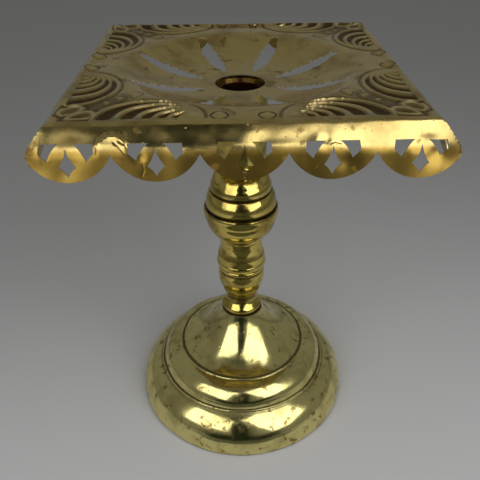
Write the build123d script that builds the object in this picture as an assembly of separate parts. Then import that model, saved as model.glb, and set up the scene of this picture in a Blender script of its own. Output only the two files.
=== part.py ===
from build123d import *
import os
from math import atan2, cos, hypot, pi, radians, sin, tan

# ---------------------------------------------------------------
# Pedestal candle stand: a square pressed brass tray with a pierced
# apron on a turned brass column and a spun brass foot.
# Millimetres. Origin on the floor at the column's axis, +Z up,
# tray sides square to X and Y.
# ---------------------------------------------------------------

# Tray sheet
fold_half = 100.0          # centre to the fold at each side of the flat top
sheet = 0.8                # thickness of the pressed sheet
bead_width = 6.2           # raised strip along the fold
apron_overhang = 10.0      # fold out to the line of the scallop cusps
fascia_drop = 11.2         # flat top down to that line
apron_slope = 80.0         # degrees from level, below the cusps
seam_overlap = 0.5         # overlap of the pressed areas of the one sheet
scallops = 5               # on each side
scallop_drop = 14.4        # cusp line down to the lowest point of a scallop

# Piercings of one scallop, measured from its middle and from the cusp line
hole_top = 4.6
hole_inner = 3.4
hole_outer_top = 13.2
hole_outer_low = 13.8
hole_shoulder = 0.8
hole_tip_x = 9.8
hole_tip = -3.2
petal_bow = 0.9
kite_top = 2.7
kite_waist = -6.2
kite_half = 4.5
kite_tip = -11.4
kite_cove = 0.55

# Dish pressed into the tray
rim_margin = 13.8          # raised strip in to the dish's rim
rim_round = 25.0
dish_depth = 13.0
hub_land = 2.5             # width of the flat round the hub hole, out past the neck cup
hub_lip = 2.1              # hub hole's edge inside the neck cup's outer wall
slots = 8
slot_hub_gap = 4.0         # flat round the hub hole out to the slots
slot_rim_gap = 5.0         # slots' outer ends in from the dish's rim
slot_half_width = 5.2
slot_waves = 5
slot_wave_depth = 0.45
slot_fullness = 0.6

# Candle socket, hanging by its flange in the neck cup
socket_bore = 12.8
socket_wall = 1.0
socket_flange = 1.0
socket_depth = 36.0
flange_below_dish = 4.0
socket_clearance = 0.15
socket_gap = 3.1           # end of the tie rod up to the socket

# Neck cup that carries the tray
cup_gap = 2.5              # socket's outer wall to the cup's bore below the ledge
cup_wall = 1.2
cup_ledge = 1.0            # width of the step that the flange hangs on
cup_floor = 2.0
solder_leg = 2.5
solder_clearance = 0.05
solder_start = 0.15        # shares of the mitre left bare above the solder and covered by it
solder_run = 0.7

# Column, heights of its pieces from the foot's top up, and outer radii
foot_height = 84.2
collar_height = 12.8
vase_height = 27.0
baluster_height = 30.4
knop_cup_height = 28.2
knop_cap_height = 31.9
bead_ring_height = 8.0
collar_radius = 16.6
neck_radius = 11.8
vase_radius = 18.5
baluster_radius = 19.4
waist_radius = 16.5
cup_foot_radius = 18.6
knop_radius = 28.2         # rim round the seam
rim_height = 8.4
cup_bow = 2.2
belly_radius = 26.4
cap_radius = 22.7
cap_groove_rise = 14.2     # seam up to the groove
cap_crease_radius = 21.2
cap_crease_drop = 9.8      # cap's top down to the crease
cap_top_radius = 14.0
bead_inset = 0.7           # bead's root inside the neck cup's wall
bead_swell = 2.2           # how far the bead stands out from its root
bead_drop = 4.9            # height of the bead
cove_bow = 1.0
slight_bow = 0.3           # how far the turned curves swell between their ends
soft_bow = 0.6
full_bow = 1.2
cup_foot_height = 4.0      # bead at the foot of the knop's cup
ledge_height = 4.4         # bead between the vase and the baluster
belly_height = 3.0         # lower half of the baluster's belly
shoulder_height = 8.0      # belly's top up to the waist
waist_height = 4.0
vase_swell = 10.0          # top of the vase above its widest curve
vase_stem = 3.0
collar_roll = 5.8
cast_wall = 1.6
spun_wall = 1.2
groove = 0.5               # depth and half-width of the turned grooves

# Foot
foot_radius = 90.2
foot_wall = 1.2
hem_radius = 2.0
hem_sink = 0.2             # flat worn on the underside of the hem
wire_radius = 0.75
wire_clearance = 0.03
ring_b_inset = 19.8        # foot's edge in to the lower ring
ring_b_z = 30.8
ring_a_inset = 17.6        # lower ring in to the upper ring
ring_a_rise = 17.0         # lower ring up to the upper ring
ring_bead = 0.9
lower_roll_bow = 4.8
upper_roll_bow = 3.8
bell_bow = 5.2

# Tie rod, nuts and washers
rod_radius = 3.0
rod_clearance = 0.3
thread_clearance = 0.05
nut_across_flats = 10.0
nut_height = 5.0
washer_thickness = 1.2
base_washer_radius = 12.0
cup_washer_radius = 8.0
rod_past_nut = 1.2


def bowed(start, end, bow):
    # arc from start to end, its middle pushed out by bow to the left
    length = hypot(end[0] - start[0], end[1] - start[1])
    left = ((start[1] - end[1]) / length, (end[0] - start[0]) / length)
    middle = ((start[0] + end[0]) / 2 + bow * left[0], (start[1] + end[1]) / 2 + bow * left[1])
    return ThreePointArc(start, middle, end)


def outline(edges):
    return Plane.XY * make_face(edges)


def wall_face(edges, thickness, side=Side.LEFT):
    # closed section of a wall, grown from the given surface to one side of its direction
    path = Wire(edges)
    return Face(path.offset_2d(thickness, kind=Kind.INTERSECTION, side=side, closed=True))


def spin(face):
    return revolve(Plane.XZ * face, Axis.Z)


def disc(radius, low, high):
    return Pos(0, 0, low) * Cylinder(radius, high - low, align=(Align.CENTER, Align.CENTER, Align.MIN))


def ring(inner, outer, low, high):
    return disc(outer, low, high) - disc(inner, low, high)


# Sizes that follow from the ones above
apron_half = fold_half + apron_overhang
collar_z = foot_height
vase_z = collar_z + collar_height
baluster_z = vase_z + vase_height
knop_z = baluster_z + baluster_height
seam_z = knop_z + knop_cup_height
bead_ring_z = seam_z + knop_cap_height
cup_z = bead_ring_z + bead_ring_height
cup_washer_z = cup_z + cup_floor
cup_nut_z = cup_washer_z + washer_thickness
rod_top = cup_nut_z + nut_height + rod_past_nut
flange_top = rod_top + socket_gap + socket_depth
field_z = flange_top + flange_below_dish + dish_depth
dish_under = field_z - dish_depth - sheet
cusp_z = field_z - fascia_drop
rod_hole = rod_radius + rod_clearance
socket_outer = socket_bore + socket_wall
cup_bore = socket_outer + cup_gap + cup_ledge
cup_radius = cup_bore + cup_wall
hub_hole = cup_radius - hub_lip
hub_flat = cup_radius + hub_land
cap_groove_z = seam_z + cap_groove_rise
cap_crease_z = bead_ring_z - cap_crease_drop
bead_root = cup_radius - bead_inset
bead_low_z = cup_z - bead_drop
ring_b_radius = foot_radius - ring_b_inset
ring_a_radius = ring_b_radius - ring_a_inset
ring_a_z = ring_b_z + ring_a_rise
base_washer_z = collar_z - foot_wall - washer_thickness
base_nut_z = base_washer_z - nut_height
rim_radius = fold_half - bead_width - rim_margin
slot_inner = hub_flat + slot_hub_gap
slot_outer = rim_radius - slot_rim_gap

# ---------------- tray sheet ----------------


def dish_edges():
    # upper surface of the dish, from the hub hole out to the rim
    run = rim_radius - hub_flat
    slope = 2 * atan2(dish_depth, run)
    total = run / sin(slope)
    bowl_radius = total - rim_round
    turn_r = hub_flat + bowl_radius * sin(slope)
    turn_z = field_z - dish_depth + bowl_radius * (1 - cos(slope))
    half = slope / 2
    hub_z = field_z - dish_depth
    bowl_mid = (hub_flat + bowl_radius * sin(half), hub_z + bowl_radius * (1 - cos(half)))
    rim_mid = (rim_radius - rim_round * sin(half), field_z - rim_round * (1 - cos(half)))
    return [
        Line((hub_hole, hub_z), (hub_flat, hub_z)),
        ThreePointArc((hub_flat, hub_z), bowl_mid, (turn_r, turn_z)),
        ThreePointArc((turn_r, turn_z), rim_mid, (rim_radius, field_z)),
    ]


def slot_tool():
    # leaf with waved edges, along +X
    length = slot_outer - slot_inner
    steps = 4 * slot_waves
    upper = []
    for i in range(1, steps):
        s = i / steps
        half = slot_half_width * sin(pi * s) ** slot_fullness
        half += slot_wave_depth * sin(2 * pi * slot_waves * s)
        upper.append((slot_inner + length * s, half))
    lower = [(x, -y) for x, y in reversed(upper)]
    inner = (slot_inner, 0)
    outer = (slot_outer, 0)
    leaf = outline([Spline([inner] + upper + [outer]), Spline([outer] + lower + [inner])])
    return extrude(Pos(0, 0, field_z - 2 * dish_depth) * leaf, amount=3 * dish_depth, dir=(0, 0, 1))


def dish_solid():
    low_z = field_z - 3 * dish_depth
    closing = [
        Line((rim_radius, field_z), (rim_radius, low_z)),
        Line((rim_radius, low_z), (hub_hole, low_z)),
        Line((hub_hole, low_z), (hub_hole, field_z - dish_depth)),
    ]
    block = outline(dish_edges() + closing)
    dish = spin(block - Pos(0, -sheet) * block)
    leaf = slot_tool()
    return dish - [Rot(0, 0, 360 / slots * (k + 0.5)) * leaf for k in range(slots)]


def panel_edges(low_z):
    # outer surface from the flat top over the raised strip and down the apron
    strip = fold_half - bead_width
    fascia_slope = atan2(field_z - cusp_z, apron_half - fold_half)
    rise = bead_width / 2 * tan(fascia_slope / 2)
    low_half = apron_half + (cusp_z - low_z) / tan(radians(apron_slope))
    return [
        Line((strip - seam_overlap, field_z), (strip, field_z)),
        ThreePointArc((strip, field_z), (strip + bead_width / 2, field_z + rise), (fold_half, field_z)),
        Line((fold_half, field_z), (apron_half, cusp_z)),
        Line((apron_half, cusp_z), (low_half, low_z)),
    ]


def panel_solid():
    low_z = cusp_z - scallop_drop - 2 * sheet
    section = wall_face(panel_edges(low_z), sheet, Side.RIGHT)
    reach = apron_half + scallop_drop
    bent = extrude(Plane.YZ * section, amount=reach, both=True)
    corners = [(0, 0), (reach, reach), (-reach, reach)]
    wedge = outline(Polyline(corners + [corners[0]]).edges())
    panel = bent & extrude(wedge, amount=2 * field_z)
    return panel - extrude(Plane.XZ * apron_cut(low_z), amount=-2 * reach)


def scallop_holes(middle):
    holes = []
    kite = [(0, kite_top), (-kite_half, kite_waist), (0, kite_tip), (kite_half, kite_waist)]
    kite = [(middle + x, cusp_z + z) for x, z in kite]
    holes.append(outline([bowed(kite[i], kite[(i + 1) % 4], kite_cove) for i in range(4)]))
    for side in (-1, 1):
        top_in = (middle + side * hole_inner, cusp_z + hole_top)
        top_out = (middle + side * hole_outer_top, cusp_z + hole_top)
        shoulder = (middle + side * hole_outer_low, cusp_z + hole_shoulder)
        tip = (middle + side * hole_tip_x, cusp_z + hole_tip)
        edges = [
            Line(top_in, top_out),
            Line(top_out, shoulder),
            Line(shoulder, tip),
            bowed(tip, top_in, -side * petal_bow),
        ]
        holes.append(outline(edges))
    return holes


def apron_cut(low_z):
    pitch = 2 * apron_half / scallops
    arc_radius = ((pitch / 2) ** 2 + scallop_drop ** 2) / (2 * scallop_drop)
    cuts = Pos(0, low_z) * Rectangle(3 * apron_half, 2 * (cusp_z - low_z))
    holes = []
    for k in range(scallops):
        middle = (k - (scallops - 1) / 2) * pitch
        cuts -= Pos(middle, cusp_z - scallop_drop + arc_radius) * Circle(arc_radius)
        holes += scallop_holes(middle)
    return Sketch() + [cuts] + holes


def tray_sheet():
    strip = fold_half - bead_width
    plate = Pos(0, 0, field_z - sheet / 2) * Box(2 * strip, 2 * strip, sheet)
    plate -= disc(rim_radius, field_z - 2 * sheet, field_z + sheet)
    panel = panel_solid()
    return plate + [dish_solid()] + [Rot(0, 0, 90 * k) * panel for k in range(4)]


# ---------------- solder ----------------


def corner_solder():
    # fillet run along the inside of each mitre, a three-sided bar
    fall = atan2(field_z - cusp_z, apron_half - fold_half)
    down = Vector(apron_half - fold_half, apron_half - fold_half, cusp_z - field_z)
    under = field_z - sheet / cos(fall) - solder_clearance
    start = Vector(fold_half, fold_half, under) + down * solder_start
    along_x = Vector(-solder_leg, 0, 0)
    along_y = Vector(0, -solder_leg, 0)
    corners = [start, start + along_x, start + along_y]
    section = make_face([Edge.make_line(corners[i], corners[(i + 1) % 3]) for i in range(3)])
    bar = extrude(section, amount=down.length * solder_run, dir=down.normalized())
    return Compound(children=[Rot(0, 0, 90 * k) * bar for k in range(4)])


def neck_solder():
    # fillet between the neck cup and the underside of the dish
    top = dish_under - solder_clearance
    near = cup_radius + solder_clearance
    corners = [(near, top), (near, top - solder_leg), (hub_flat, top)]
    return spin(outline(Polyline(corners + [corners[0]]).edges()))


# ---------------- socket and neck ----------------


def candle_socket():
    inner = socket_bore
    outer = socket_outer
    low = flange_top - socket_depth
    cup = ring(inner, outer, low, flange_top)
    floor = disc(inner, low, low + socket_wall)
    flange = ring(outer, cup_bore - socket_clearance, flange_top - socket_flange, flange_top)
    return cup + floor + flange


def neck_cup():
    ledge = flange_top - socket_flange
    wall = ring(cup_bore, cup_radius, ledge, dish_under)
    body = ring(cup_bore - cup_ledge, cup_radius, cup_z, ledge)
    floor = ring(rod_hole, cup_bore - cup_ledge, cup_z, cup_z + cup_floor)
    return wall + body + floor


def neck_bead_ring():
    edges = [
        Line((rod_hole, bead_ring_z), (cap_top_radius, bead_ring_z)),
        bowed((cap_top_radius, bead_ring_z), (bead_root, bead_low_z), cove_bow),
        bowed((bead_root, bead_low_z), (bead_root, cup_z), -bead_swell),
        Line((bead_root, cup_z), (rod_hole, cup_z)),
        Line((rod_hole, cup_z), (rod_hole, bead_ring_z)),
    ]
    return spin(outline(edges))


# ---------------- turned column ----------------


def turned(edges, wall, low_web=True, high_web=True):
    # hollow turned piece, its outline given upward, with a bearing web where an end is closed
    start = edges[0] @ 0
    end = edges[-1] @ 1
    closing = [Line(end, (0, end.Y)), Line((0, end.Y), (0, start.Y)), Line((0, start.Y), start)]
    solid = outline(edges + closing)
    low = start.Y + wall if low_web else start.Y - wall
    high = end.Y - wall if high_web else end.Y + wall
    band = Pos(0, (low + high) / 2) * Rectangle(4 * foot_radius, high - low)
    hole = Pos(0, (start.Y + end.Y) / 2) * Rectangle(2 * rod_hole, end.Y - start.Y + 2)
    return spin(solid - (Pos(-wall, 0) * solid & band) - hole)


def profile(start, *steps):
    # outline of arcs and straight runs, each step its bow and its end point
    edges = []
    for bow, radius, z in steps:
        if bow == 0:
            edges.append(Line(start, (radius, z)))
        else:
            edges.append(bowed(start, (radius, z), bow))
        start = (radius, z)
    return edges


def knop_upper():
    edges = profile(
        (belly_radius, seam_z),
        (-full_bow, cap_radius + groove, cap_groove_z - groove),
        (0, cap_radius - groove, cap_groove_z),
        (0, cap_radius, cap_groove_z + groove),
        (-soft_bow, cap_crease_radius, cap_crease_z),
        (-full_bow, cap_top_radius, bead_ring_z - groove),
        (0, cap_top_radius, bead_ring_z),
    )
    return turned(edges, spun_wall, low_web=False)


def knop_lower():
    rim_low = seam_z - rim_height
    edges = profile(
        (waist_radius, knop_z),
        (0, cup_foot_radius - 2 * groove, knop_z + groove),
        (-soft_bow, cup_foot_radius, knop_z + cup_foot_height),
        (-cup_bow, knop_radius - 3 * groove, rim_low - groove),
        (0, knop_radius - 3 * groove, rim_low),
        (0, knop_radius - groove, rim_low + groove),
        (-slight_bow, knop_radius, seam_z - 3 * groove),
        (0, knop_radius - groove, seam_z),
    )
    return turned(edges, spun_wall, high_web=False)


def mid_baluster():
    ledge_z = baluster_z + ledge_height
    belly_z = ledge_z + belly_height
    shoulder_z = belly_z + belly_height
    waist_z = shoulder_z + shoulder_height
    edges = profile(
        (vase_radius - groove, baluster_z),
        (-slight_bow, vase_radius, ledge_z - groove),
        (0, vase_radius - groove / 2, ledge_z),
        (-slight_bow, baluster_radius, belly_z),
        (-slight_bow, baluster_radius - groove, shoulder_z),
        (-slight_bow, waist_radius + 2 * groove, waist_z),
        (slight_bow, waist_radius, knop_z - waist_height),
        (0, waist_radius, knop_z),
    )
    return turned(edges, cast_wall)


def lower_vase():
    edges = profile(
        (neck_radius, vase_z),
        (slight_bow, neck_radius + 2 * groove, vase_z + vase_stem),
        (-soft_bow, vase_radius - groove, baluster_z - vase_swell),
        (-slight_bow, vase_radius, baluster_z - vase_stem),
        (0, vase_radius - groove, baluster_z),
    )
    return turned(edges, cast_wall)


def foot_collar():
    edges = profile(
        (rod_hole, collar_z),
        (0, collar_radius - full_bow, collar_z),
        (-full_bow, collar_radius - full_bow, collar_z + collar_roll),
        (soft_bow, neck_radius, vase_z),
        (0, rod_hole, vase_z),
        (0, rod_hole, collar_z),
    )
    return spin(outline(edges))


# ---------------- foot ----------------


def base_dome():
    hem_r = foot_radius - hem_radius
    hem_z = hem_radius - hem_sink
    bead = ring_bead
    edges = profile(
        (foot_radius, hem_z),
        (-lower_roll_bow, ring_b_radius + bead, ring_b_z - bead),
        (-bead / 2, ring_b_radius - bead, ring_b_z + bead),
        (-upper_roll_bow, ring_a_radius + bead, ring_a_z - bead),
        (-bead / 2, ring_a_radius - bead, ring_a_z + bead),
        (bell_bow, collar_radius, collar_z),
        (0, 0, collar_z),
        (0, 0, hem_z),
        (0, foot_radius, hem_z),
    )
    solid = outline(edges)
    bore = Pos(0, collar_z) * Rectangle(2 * rod_hole, collar_z)
    shell = spin(solid - Pos(-foot_wall, -foot_wall) * solid - bore)
    hem = Pos(0, 0, hem_z) * Torus(hem_r, hem_radius)
    channel = Pos(0, 0, hem_z) * Torus(hem_r, wire_radius + wire_clearance)
    return shell + hem - channel - disc(foot_radius + hem_radius, -2 * hem_radius, 0)


def rim_wire():
    return Pos(0, 0, hem_radius - hem_sink) * Torus(foot_radius - hem_radius, wire_radius)


# ---------------- tie rod ----------------


def washer(radius, low):
    return ring(rod_hole, radius, low, low + washer_thickness)


def nut(low):
    blank = extrude(RegularPolygon(nut_across_flats / 2, 6, major_radius=False), amount=nut_height)
    bore = Cylinder(rod_radius + thread_clearance, 3 * nut_height)
    return Pos(0, 0, low) * (blank - bore)


def tie_rod():
    return disc(rod_radius, base_nut_z - rod_past_nut, rod_top)


nodes = {
    "tray_sheet": tray_sheet,
    "corner_solder": corner_solder,
    "neck_solder": neck_solder,
    "candle_socket": candle_socket,
    "neck_cup": neck_cup,
    "neck_bead_ring": neck_bead_ring,
    "knop_upper": knop_upper,
    "knop_lower": knop_lower,
    "mid_baluster": mid_baluster,
    "lower_vase": lower_vase,
    "foot_collar": foot_collar,
    "base_dome": base_dome,
    "rim_wire": rim_wire,
    "base_washer": lambda: washer(base_washer_radius, base_washer_z),
    "base_nut": lambda: nut(base_nut_z),
    "cup_washer": lambda: washer(cup_washer_radius, cup_washer_z),
    "cup_nut": lambda: nut(cup_nut_z),
    "tie_rod": tie_rod,
}

os.makedirs("parts", exist_ok=True)
for name, build in nodes.items():
    export_step(build(), f"parts/{name}.step")
    print(name)
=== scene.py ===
import math
import bpy
import numpy as np
from mathutils import Matrix, Quaternion, Vector, kdtree
from mathutils.geometry import delaunay_2d_cdt


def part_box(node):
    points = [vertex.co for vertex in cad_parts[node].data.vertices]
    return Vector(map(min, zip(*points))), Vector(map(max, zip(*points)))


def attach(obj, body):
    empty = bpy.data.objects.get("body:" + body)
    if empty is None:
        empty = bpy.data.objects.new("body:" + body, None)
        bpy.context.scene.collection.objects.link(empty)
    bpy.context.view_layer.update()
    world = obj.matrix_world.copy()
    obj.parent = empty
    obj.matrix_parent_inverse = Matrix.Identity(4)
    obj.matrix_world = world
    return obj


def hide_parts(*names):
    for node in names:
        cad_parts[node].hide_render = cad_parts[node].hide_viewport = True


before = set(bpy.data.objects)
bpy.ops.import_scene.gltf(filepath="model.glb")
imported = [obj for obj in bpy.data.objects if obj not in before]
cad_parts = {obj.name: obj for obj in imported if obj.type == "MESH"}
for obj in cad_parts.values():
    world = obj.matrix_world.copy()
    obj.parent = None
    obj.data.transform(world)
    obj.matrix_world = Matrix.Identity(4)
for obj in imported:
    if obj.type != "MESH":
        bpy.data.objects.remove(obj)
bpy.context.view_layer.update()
mm = 0.001
print("frame loaded")


# small maths used by several pieces

def smooth(x, low, high):
    t = np.clip((x - low) / (high - low), 0.0, 1.0)
    return t * t * (3.0 - 2.0 * t)


def bell(x, width):
    return np.exp(-(x / width) ** 2)


def ripple(points, size, seed):
    # gentle random unevenness from -1 to 1, its humps about size mm apart
    rng = np.random.default_rng(seed)
    total = np.zeros(len(points))
    count = 10
    for _ in range(count):
        way = rng.normal(size=points.shape[1])
        way /= np.linalg.norm(way)
        pitch = size * rng.uniform(0.6, 1.6)
        total += np.sin(points @ way * 2 * math.pi / pitch + rng.uniform(0, 2 * math.pi))
    return total / math.sqrt(count)


def bowed(start, end, bow, steps=14):
    # points along an arc from start to end, its middle pushed out by bow to the left
    a = np.array(start, float)
    b = np.array(end, float)
    span = b - a
    length = np.linalg.norm(span)
    if abs(bow) < 1e-6:
        return [tuple(a + span * i / steps) for i in range(steps + 1)]
    left = np.array([-span[1], span[0]]) / length
    radius = (length ** 2 / 4 + bow ** 2) / (2 * abs(bow))
    side = 1 if bow > 0 else -1
    centre = (a + b) / 2 + left * side * (abs(bow) - radius)
    turn = 2 * math.asin(min(1.0, length / (2 * radius)))
    if abs(bow) > radius:
        turn = 2 * math.pi - turn
    first = a - centre
    points = []
    for i in range(steps + 1):
        angle = -side * turn * i / steps
        c = math.cos(angle)
        s = math.sin(angle)
        points.append((centre[0] + first[0] * c - first[1] * s, centre[1] + first[0] * s + first[1] * c))
    return points


def profile(start, *arcs):
    # outline of arcs, each given as its bow and its end point
    points = [start]
    for bow, r, z in arcs:
        steps = 12 if abs(bow) > 0 else 2
        points += bowed(points[-1], (r, z), bow, steps)[1:]
    return points


# shader trees

class Val:
    # a socket whose sums and products add Math nodes
    def __init__(self, tree, socket):
        self.tree = tree
        self.socket = socket

    def maths(self, operation, other, turned=False):
        pair = (other, self) if turned else (self, other)
        return self.tree.add("ShaderNodeMath", {"operation": operation}, {0: pair[0], 1: pair[1]})

    def __add__(self, other):
        return self.maths("ADD", other)

    def __radd__(self, other):
        return self.maths("ADD", other, True)

    def __sub__(self, other):
        return self.maths("SUBTRACT", other)

    def __rsub__(self, other):
        return self.maths("SUBTRACT", other, True)

    def __mul__(self, other):
        return self.maths("MULTIPLY", other)

    def __rmul__(self, other):
        return self.maths("MULTIPLY", other, True)


class Finish:
    # the node tree of one material, or of the room's light
    def __init__(self, owner):
        self.material = bpy.data.materials.new(owner) if isinstance(owner, str) else owner
        self.material.use_nodes = True
        self.nodes = self.material.node_tree.nodes
        self.links = self.material.node_tree.links
        self.shader = self.nodes.get("Principled BSDF")

    def put(self, socket, value):
        if isinstance(value, Val):
            self.links.new(value.socket, socket)
        elif isinstance(value, tuple) and len(value) == 3 and socket.type == "RGBA":
            socket.default_value = (*value, 1.0)
        else:
            socket.default_value = value

    def add(self, kind, settings, inputs, output=0):
        node = self.nodes.new(kind)
        for key, value in settings.items():
            setattr(node, key, value)
        for key, value in inputs.items():
            self.put(node.inputs[key], value)
        return Val(self, node.outputs[output])

    def place(self, stretch=(1.0, 1.0, 1.0), shift=(0.0, 0.0, 0.0)):
        # the spot on the object, in mm
        spot = self.add("ShaderNodeTexCoord", {}, {}, "Object")
        scaled = tuple(s / mm for s in stretch)
        return self.add("ShaderNodeMapping", {}, {"Vector": spot, "Scale": scaled, "Location": shift})

    def noise(self, size, detail=3.0, rough=0.55, stretch=(1.0, 1.0, 1.0), shift=(0.0, 0.0, 0.0), warp=0.0):
        spot = self.place(stretch, shift)
        return self.add("ShaderNodeTexNoise", {}, {"Vector": spot, "Scale": 1.0 / size, "Detail": detail,
                                                   "Roughness": rough, "Distortion": warp})

    def spots(self, size, shift=(0.0, 0.0, 0.0)):
        # distance from scattered points, in shares of size
        return self.add("ShaderNodeTexVoronoi", {}, {"Vector": self.place(shift=shift), "Scale": 1.0 / size})

    def span(self, value, low, high):
        # 0 below low and 1 above high
        return self.add("ShaderNodeMapRange", {"interpolation_type": "SMOOTHSTEP"},
                        {"Value": value, "From Min": low, "From Max": high})

    def rings(self, grooves, uneven):
        # dark bands round the axis, each given as its height, half width and strength in mm
        total = None
        height = self.add("ShaderNodeSeparateXYZ", {}, {0: self.place()}, 2)
        for middle, half, strength in grooves:
            away = (height - middle).maths("ABSOLUTE", 0)
            band = (1.0 - self.span(away + (uneven - 0.5) * half, half * 0.35, half)) * strength
            total = band if total is None else total.maths("MAXIMUM", band)
        return total

    def painted(self, name):
        # a mask that the mesh carries
        return self.add("ShaderNodeAttribute", {"attribute_name": name}, {}, "Fac")

    def blend(self, share, first, second):
        return self.add("ShaderNodeMix", {"data_type": "RGBA"}, {0: share, 6: first, 7: second}, 2)

    def set(self, **inputs):
        for key, value in inputs.items():
            self.put(self.shader.inputs[key.replace("_", " ")], value)

    def bump(self, height, strength=1.0):
        # height is in mm
        normal = self.add("ShaderNodeBump", {}, {"Height": height, "Strength": strength, "Distance": mm})
        self.put(self.shader.inputs["Normal"], normal)


def agedBrass(name, look):
    # polished brass with thin brown patina, pits and stains; carved pieces also get painted shade in their
    # recesses and on the apron, and a painted highlight on their crests
    f = Finish(name)
    thin = f.span(f.noise(look["patinaSize"], 5.0, 0.6), 0.42, 0.68)
    fine = f.noise(look["patinaSize"] * 0.12, 4.0, 0.65)
    colour = f.blend(thin * look["patina"], look["bright"], look["thin"])
    blotNoise = f.noise(look["blotSize"], 4.0, 0.6, shift=(31.0, 7.0, 3.0))
    blots = f.span(blotNoise, look["blotEdge"], look["blotEdge"] + 0.09)
    colour = f.blend(blots * look["blots"], colour, look["brown"])
    pitCells = f.spots(look["pitSize"])
    pitNoise = f.noise(look["pitSize"] * 6.0, 2.0, shift=(5.0, 90.0, 11.0))
    where = f.span(pitNoise, look["pitEdge"], look["pitEdge"] + 0.12)
    pits = (1.0 - f.span(pitCells, 0.06, 0.17)) * where * look["pits"]
    stainNoise = f.noise(look["stainSize"], 5.0, 0.7, shift=(60.0, 21.0, 44.0), warp=0.6)
    stains = f.span(stainNoise, look["stainEdge"], look["stainEdge"] + 0.06) * look["stains"]
    colour = f.blend(stains, colour, look["stain"])
    dull = thin * 0.10 + blots * 0.16 + stains * 0.25
    if look["carved"]:
        shadeAndStain, crest, apron = (f.painted(mask) for mask in ("shadeAndStain", "crest", "apron"))
        # painted shade: the apron below the cusps is coloured a dull dark gold
        colour = f.blend(apron * (0.72 + fine * 0.3), colour, look["apronShadeGold"])
        # painted shade in the relief's recesses, together with its real stains and cracks
        wearAndShade = f.span(shadeAndStain, 0.12, 0.80) * (0.70 + fine * 0.6)
        colour = f.blend(wearAndShade, colour, look["deep"])
        # painted highlight on the crests
        colour = f.blend(crest * 0.85, colour, look["crest"])
        colour = f.blend(f.painted("verdigris") * 0.55, colour, look["verdigris"])
        dull = dull + shadeAndStain * 0.25 + crest * 0.24 + apron * 0.14
    grooveDark = f.rings(look["grooves"], fine)
    if grooveDark is not None:
        colour = f.blend(grooveDark, colour, look["pit"])
        dull = dull + grooveDark * 0.3
    colour = f.blend(pits, colour, look["pit"])
    scratches = f.noise(0.5, 2.0, 0.6, stretch=(0.12, 1.0, 0.12))
    scratches = scratches + f.noise(0.5, 2.0, 0.6, stretch=(1.0, 0.15, 0.3))
    f.set(Base_Color=colour, Metallic=1.0 - (pits + stains * 0.35),
          Roughness=look["roughness"] + dull + (fine - 0.5) * 0.08 + pits * 0.3)
    f.bump(fine * look["grain"] + scratches * look["scratch"] - pits * 0.12 - blots * 0.01)
    return f.material


def plainMetal(name, look):
    # dark iron or dull solder
    f = Finish(name)
    cloud = f.noise(look["size"], 5.0, 0.6)
    grain = f.noise(look["size"] * 0.1, 3.0, 0.6, shift=(9.0, 4.0, 2.0))
    spread = f.span(cloud, 0.4, 0.65)
    f.set(Base_Color=f.blend(spread, look["first"], look["second"]), Metallic=look["metal"],
          Roughness=look["roughness"] + (grain - 0.5) * 0.3)
    f.bump(grain * look["relief"])
    return f.material


# the carved tray's apron and recess colours are painted shade, and its crest colour is a painted highlight
brassLook = {
    "bright": (0.80, 0.69, 0.20), "thin": (0.46, 0.37, 0.10), "brown": (0.22, 0.13, 0.030),
    "apronShadeGold": (0.36, 0.225, 0.036), "deep": (0.105, 0.062, 0.018), "pit": (0.020, 0.013, 0.006),
    "stain": (0.22, 0.07, 0.025), "verdigris": (0.30, 0.42, 0.33), "crest": (0.72, 0.60, 0.32),
    "patina": 0.6, "patinaSize": 26.0, "blots": 0.5, "blotSize": 14.0, "blotEdge": 0.60,
    "pits": 0.9, "pitSize": 3.2, "pitEdge": 0.55, "stains": 0.0, "stainSize": 12.0, "stainEdge": 0.66,
    "roughness": 0.17, "grain": 0.006, "scratch": 0.004, "carved": False, "grooves": (),
}
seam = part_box("knop_upper")[0].z / mm
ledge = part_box("lower_vase")[1].z / mm
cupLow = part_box("knop_lower")[0].z / mm
collarLow, collarHigh = (corner.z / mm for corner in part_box("foot_collar"))
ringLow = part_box("neck_bead_ring")[0].z / mm
# dark bands along the grooves and joints: height, half width in mm and strength
columnGrooves = (
    (seam + 1.2, 1.9, 0.95), (seam + 14.6, 1.5, 0.85), (cupLow + 0.4, 1.4, 0.8), (ledge + 1.0, 1.8, 0.85),
    (collarHigh + 1.0, 3.4, 0.7), (collarLow, 1.8, 0.95), (ringLow, 1.2, 0.8), (cupLow - 14.0, 1.0, 0.6))
footGrooves = (
    (31.6, 0.8, 0.75), (48.6, 0.8, 0.8), (29.4, 0.6, 0.4), (collarLow - 0.2, 1.6, 0.9), (0.6, 1.6, 0.8))
trayBrass = agedBrass("trayBrass", {
    **brassLook, "carved": True, "bright": (0.70, 0.54, 0.20), "thin": (0.42, 0.30, 0.10), "roughness": 0.15,
    "patina": 0.9, "stains": 0.45, "stainSize": 16.0, "blots": 0.65, "blotSize": 11.0})
edgeBrass = agedBrass("edgeBrass", {
    **brassLook, "bright": (0.66, 0.58, 0.36), "thin": (0.40, 0.33, 0.18), "roughness": 0.34, "pits": 0.0})
columnBrass = agedBrass("columnBrass", {
    **brassLook, "bright": (0.76, 0.60, 0.16), "thin": (0.32, 0.23, 0.050), "roughness": 0.10, "patina": 0.9,
    "patinaSize": 15.0, "blots": 0.45, "blotSize": 8.0, "pits": 0.8, "pitSize": 2.4, "pitEdge": 0.60,
    "stains": 0.5, "stainSize": 9.0, "grooves": columnGrooves})
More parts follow.
